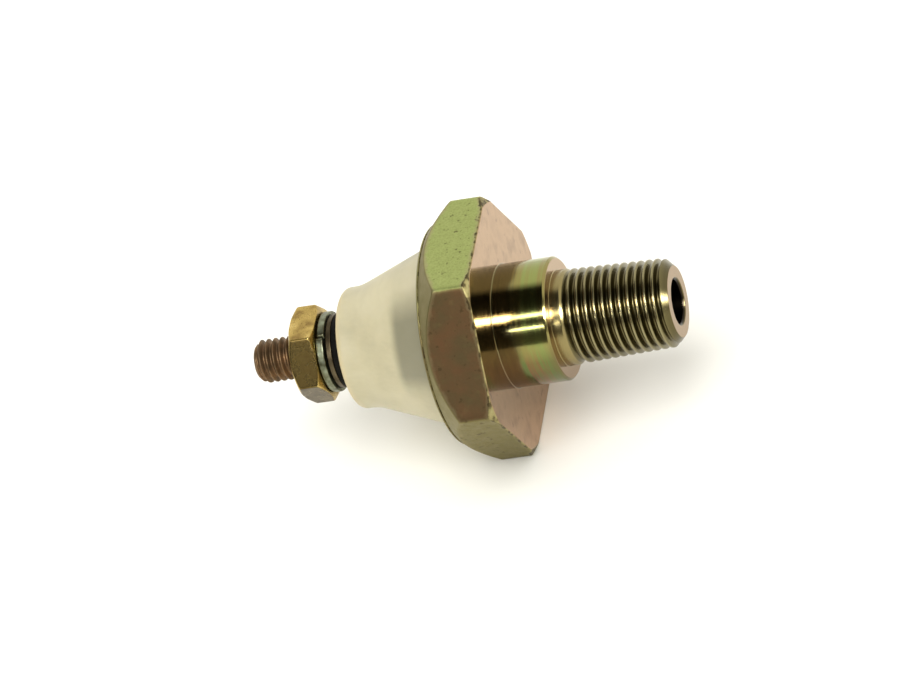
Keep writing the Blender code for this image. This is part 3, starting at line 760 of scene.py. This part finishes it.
# ---------------------------------------------------------------------------
# Insulator: a moulded nylon cap, cream from age, with a flange held in the cup, a
# conical skirt and a round neck for the stud. Its skin is dull with faint draw marks.
# ---------------------------------------------------------------------------
NECK_ROUND = 6.7 * MM
SKIRT_RADIUS = 10.3 * MM
SKIRT_START = -16.05 * MM
SKIRT_END = -6.65 * MM
FLANGE_RADIUS = 11.3 * MM
FLANGE_BACK = -5.2 * MM
CAVITY_RADIUS = 8.4 * MM
CAVITY_STEP = -6.05 * MM
CAVITY_NECK = 5.0 * MM
CAVITY_END = -10.25 * MM
POCKET_HALF_FLATS = 3.325 * MM
POCKET_END = -13.05 * MM
STUD_HOLE = 2.55 * MM
BAND_START = -11.3 * MM
BAND_FULL = -10.0 * MM
RIM_STAIN_START = -18.2 * MM
CAP_COLUMNS = 32


def make_nylon():
    material, tree, shader = new_material("moulded_nylon")
    lathe, place, parts, radius = turned_coordinates(tree, 0.15, 1.0)
    draw = noise(tree, lathe, 0.35, 3.0)
    stains = noise(tree, place, 4.0, 4.0)
    grain = noise(tree, place, 0.15, 3.0)
    base = ramp(tree, stains, [(0.3, "#AEA688"), (0.5, "#B6AE8F"), (0.75, "#BDB598")])
    faint = ramp(tree, draw, [(0.35, "#5A5A5A"), (0.6, "#000000")])
    base = mix_colour(tree, faint, base, "#CBC39D")
    # Near the hexagon the skirt has a grey band of painted shade from the flange: strongest part-way up its
    # sides, weaker along the top and weakest underneath
    near_flange = add_node(
        tree, "ShaderNodeMapRange",
        {"Value": parts["X"], "From Min": BAND_START, "From Max": BAND_FULL},
        interpolation_type="SMOOTHSTEP",
    ).outputs["Result"]
    height = socket_math(tree, "MULTIPLY_ADD", socket_math(tree, "DIVIDE", parts["Z"], radius), 0.5, 0.5)
    upright = ramp(tree, height, [
        (0.45, "#303030"), (0.54, "#A0A0A0"), (0.64, "#FFFFFF"), (0.90, "#FFFFFF"), (0.965, "#B0B0B0"),
        (0.99, "#606060"),
    ])
    shade = socket_math(tree, "MULTIPLY", socket_math(tree, "MULTIPLY", near_flange, upright), 0.76)
    base = mix_colour(tree, shade, base, "#6C6A56")
    rim = ramp(
        tree, socket_math(tree, "MULTIPLY_ADD", parts["X"], PER_MM, -RIM_STAIN_START * PER_MM),
        [(0.1, "#B0B0B0"), (0.9, "#000000")],
    )
    base = mix_colour(tree, rim, base, "#C9A866")
    fill(tree, shader, {
        "Base Color": base,
        "Roughness": 0.42,
        "Subsurface Weight": 0.25,
        "Subsurface Radius": (2.0 * MM, 1.6 * MM, 1.0 * MM),
        "Subsurface Scale": 1.0,
        "Normal": add_bump(tree, grain, 0.1, 0.02 * MM),
    })
    return material


cap_low, cap_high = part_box("insulator")
angles = corner_angles(CAP_COLUMNS, 0.6)
pocket = hexagon(angles, POCKET_HALF_FLATS, 0.05 * MM)
cap = path([
    (CAVITY_STEP, CAVITY_RADIUS),
    (cap_high.x, CAVITY_RADIUS),
    (cap_high.x, FLANGE_RADIUS),
    (FLANGE_BACK, FLANGE_RADIUS),
    (FLANGE_BACK, SKIRT_RADIUS),
    (SKIRT_END, SKIRT_RADIUS),
    (SKIRT_START, NECK_ROUND),
    (cap_low.x, NECK_ROUND),
    (cap_low.x, STUD_HOLE),
    (POCKET_END, STUD_HOLE),
    (POCKET_END, pocket),
    (CAVITY_END, pocket),
    (CAVITY_END, CAVITY_NECK),
    (CAVITY_STEP - 1.5 * MM, CAVITY_NECK),
    (CAVITY_STEP, CAVITY_RADIUS),
], len(angles))
cap_cuts = np.array([0, 0.1, 0.2, 0.1, 0.1, 1.0, 1.0, 0.8, 0.1, 0.1, 0.1, 0.1, 0.1, 0.1, 0]) * MM
insulator = mesh_piece(
    "insulator_cap", [(round_axis(eased(cap, cap_cuts, 8), angles), 0)], make_nylon()
)
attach(insulator, "housing")
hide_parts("insulator")


# ---------------------------------------------------------------------------
# Terminal stud: a browned steel number 10 screw with a hexagon head in the insulator's
# pocket and a drilled shank for the setting screw. Its thread is rolled.
# ---------------------------------------------------------------------------
STUD_RADIUS = 0.19 * INCH / 2
STUD_PITCH = INCH / 32
STUD_DEPTH = 0.46 * MM
STUD_ROWS = 14
STUD_CREST_FLAT = 0.12
STUD_COLUMNS = 16
STUD_THREAD_START = -17.75 * MM
STUD_CHAMFER = 0.6 * MM
STUD_HEAD_HALF_FLATS = 0.125 * INCH
STUD_HEAD_FRONT = -11.35 * MM
STUD_HEAD_BACK = -12.55 * MM
SETTING_HOLE = 1.5 * MM
SETTING_HOLE_END = -16.35 * MM

stud_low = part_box("terminal_stud")[0]


def stud_profile(station, angles):
    """Radius of the threaded shank: the thread's wave under the crest radius, a 45 degree step up to the
    plain shank at its start, and a 45 degree lead-in at the free end."""
    wave = thread_wave(station, angles + math.pi / 2, STUD_PITCH, STUD_THREAD_START, STUD_CREST_FLAT)
    thread = STUD_RADIUS - STUD_DEPTH + STUD_DEPTH * wave
    plain = STUD_RADIUS - np.maximum(STUD_THREAD_START - station, 0)
    lead_in = STUD_RADIUS - STUD_CHAMFER + (station - stud_low.x)
    return np.minimum(np.maximum(thread, plain), lead_in)


browned_steel = make_metal("browned_steel", "#8A6E50", "#62503A", 0.55, 1.2, 0.3)
angles = corner_angles(STUD_COLUMNS, 1.0)
head = hexagon(angles, STUD_HEAD_HALF_FLATS, 0.05 * MM)
shank = path([
    (SETTING_HOLE_END, 0.0),
    (SETTING_HOLE_END, SETTING_HOLE),
    (STUD_HEAD_FRONT, SETTING_HOLE),
    (STUD_HEAD_FRONT, head),
    (STUD_HEAD_BACK, head),
    (STUD_HEAD_BACK, STUD_RADIUS),
    (STUD_THREAD_START + THREAD_OVERLAP, STUD_RADIUS),
], len(angles))
rows = helix_rows(stud_low.x, STUD_THREAD_START + THREAD_OVERLAP, STUD_PITCH, STUD_ROWS, angles)
thread = np.stack([rows, stud_profile(rows, angles)], axis=-1)
end = path([
    (stud_low.x, STUD_RADIUS - STUD_CHAMFER),
    (stud_low.x, STUD_RADIUS - STUD_CHAMFER - 0.06 * MM),
    (stud_low.x, 0.0),
], len(angles))
stud = mesh_piece("terminal_stud_threaded", [
    (round_axis(eased(shank, 0.1 * MM), angles), 0),
    (round_axis(thread, angles), STUD_ROWS),
    (round_axis(eased(end, 0.0), angles), 0),
], browned_steel)
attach(stud, "housing")
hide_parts("terminal_stud")
finish_node("inner_washer", pressed_brass)


# ---------------------------------------------------------------------------
# Stud seal: a black rubber ring squeezed on the end of the insulator, so it bulges.
# ---------------------------------------------------------------------------
def ring_piece(name, node, outer, hole, cuts, material, bulge=0.0):
    """A turned ring that fills a CAD ring's stretch along the axis: a rectangle with eased corners, whose
    outer side swells by a bulge at its middle."""
    low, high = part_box(node)
    middle = (low.x + high.x) / 2
    around = corner_angles(STUD_COLUMNS, 1.0)
    ring = path([
        (middle, hole), (high.x, hole), (high.x, outer - bulge), (middle, outer),
        (low.x, outer - bulge), (low.x, hole), (middle, hole),
    ], len(around))
    return mesh_piece(name, [(round_axis(eased(ring, cuts, 6), around), 0)], material)


SEAL_RADIUS = 4.3 * MM
WASHER_HOLE = 2.65 * MM

seal = ring_piece("stud_seal_ring", "stud_seal", SEAL_RADIUS, WASHER_HOLE, 0.25 * MM, rubber, 0.12 * MM)
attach(seal, "housing")
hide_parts("stud_seal")


# ---------------------------------------------------------------------------
# Washers: a stamped plain steel washer, and a split lock washer of square spring steel,
# zinc plated and grown dull. Its cut ends stand a little apart along the stud.
# ---------------------------------------------------------------------------
PLAIN_RADIUS = 4.1 * MM

# Rolled steel again, darker
darker_rolled_steel = make_metal("darker_rolled_steel", "#665B46", "#463C2A", 0.42)
plain = ring_piece(
    "plain_washer_stamped", "plain_washer", PLAIN_RADIUS, WASHER_HOLE, 0.1 * MM, darker_rolled_steel
)
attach(plain, "stud_washers")
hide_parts("plain_washer")

LOCK_RISE = 0.15 * MM
LOCK_OUTER = 4.45 * MM
LOCK_TURN = math.radians(357)
LOCK_START = math.radians(118)
LOCK_STEPS = 120

lock_low, lock_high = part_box("lock_washer")
section = eased(np.array([
    [(lock_low.x, (LOCK_OUTER + WASHER_HOLE) / 2)],
    [(lock_low.x, LOCK_OUTER)],
    [(lock_high.x - LOCK_RISE, LOCK_OUTER)],
    [(lock_high.x - LOCK_RISE, WASHER_HOLE)],
    [(lock_low.x, WASHER_HOLE)],
    [(lock_low.x, (LOCK_OUTER + WASHER_HOLE) / 2)],
]), 0.12 * MM)[:, 0]
way = np.linspace(0, 1, LOCK_STEPS)[:, None]
turned_angle = LOCK_START + way * LOCK_TURN
lock_station = section[None, :, 0] + way * LOCK_RISE
lock_radius = np.broadcast_to(section[None, :, 1], lock_station.shape)
helix = np.stack([
    lock_station, lock_radius * np.cos(turned_angle), lock_radius * np.sin(turned_angle)
], axis=-1)
white_zinc = make_metal("dull_white_zinc", "#8C927A", "#5A5842", 0.36, 0.7, 0.4)
lock = mesh_piece("lock_washer_split", [(helix, 0)], white_zinc, close_ends=True)
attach(lock, "stud_washers")
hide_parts("lock_washer")


# ---------------------------------------------------------------------------
# Terminal nut: 3/8 inch across its flats, machined from brass bar and chamfered on both
# faces, tarnished to a golden brown with bright worn corners.
# ---------------------------------------------------------------------------
NUT_HOLE = 2.5 * MM
NUT_CHAMFER = 0.75 * MM
NUT_COLUMNS = 28


# Free-cutting brass, tarnished and speckled, golden along its worn chamfers; painted light makes it golden
# on top and painted shade makes the flats that face down dark brown
def make_nut_brass():
    material, tree, shader = new_material("tarnished_brass")
    place = object_place(tree)
    tarnish = noise(tree, place, 1.4, 5.0)
    fine = noise(tree, place, 0.12, 3.0)
    colour = ramp(tree, tarnish, [(0.3, "#8E7440"), (0.5, "#B69C58"), (0.7, "#CCB26E")])
    colour = mix_colour(tree, fall(tree, fine, 0.3, 0.42), colour, "#5E4820")
    facing = facing_parts(tree)
    # Painted light on the faces that point up and painted shade on those that face down
    upper = rise(tree, facing["Z"], 0.55, 0.9)
    edges = rise(tree, socket_math(tree, "ABSOLUTE", facing["X"]), 0.2, 0.45)
    painted_top_light_and_worn_edges = socket_math(tree, "MAXIMUM", upper, edges)
    below = ramp(tree, facing["Z"], [(0.0, "#1E170A"), (0.3, "#625230")])
    colour = mix_colour(tree, painted_top_light_and_worn_edges, mix_colour(tree, 0.8, colour, below), colour)
    fill(tree, shader, {
        "Base Color": colour,
        "Roughness": socket_math(tree, "MULTIPLY_ADD", tarnish, -0.2, 0.38),
        "Metallic": 1.0,
        "Normal": add_bump(tree, fine, 0.3, 0.02 * MM),
    })
    return material


nut_low, nut_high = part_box("terminal_nut")
angles = corner_angles(NUT_COLUMNS)
nut_half_flats = nut_high.z
nut_radius = hexagon(angles, nut_half_flats, 0.05 * MM)
nut_face = np.minimum(nut_radius - 0.06 * MM, nut_half_flats * 2 / math.sqrt(3) - NUT_CHAMFER)
drop = (nut_radius - nut_face) * CHAMFER_SLOPE
nut_middle = (nut_low.x + nut_high.x) / 2
nut_path = path([
    (nut_middle, NUT_HOLE),
    (nut_high.x, NUT_HOLE),
    (nut_high.x, nut_face),
    (nut_high.x - drop, nut_radius),
    (nut_low.x + drop, nut_radius),
    (nut_low.x, nut_face),
    (nut_low.x, NUT_HOLE),
    (nut_middle, NUT_HOLE),
], len(angles))
nut = mesh_piece(
    "terminal_nut_hexagon", [(round_axis(eased(nut_path, 0.2 * MM), angles), 0)], make_nut_brass()
)
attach(nut, "nut")
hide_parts("terminal_nut")
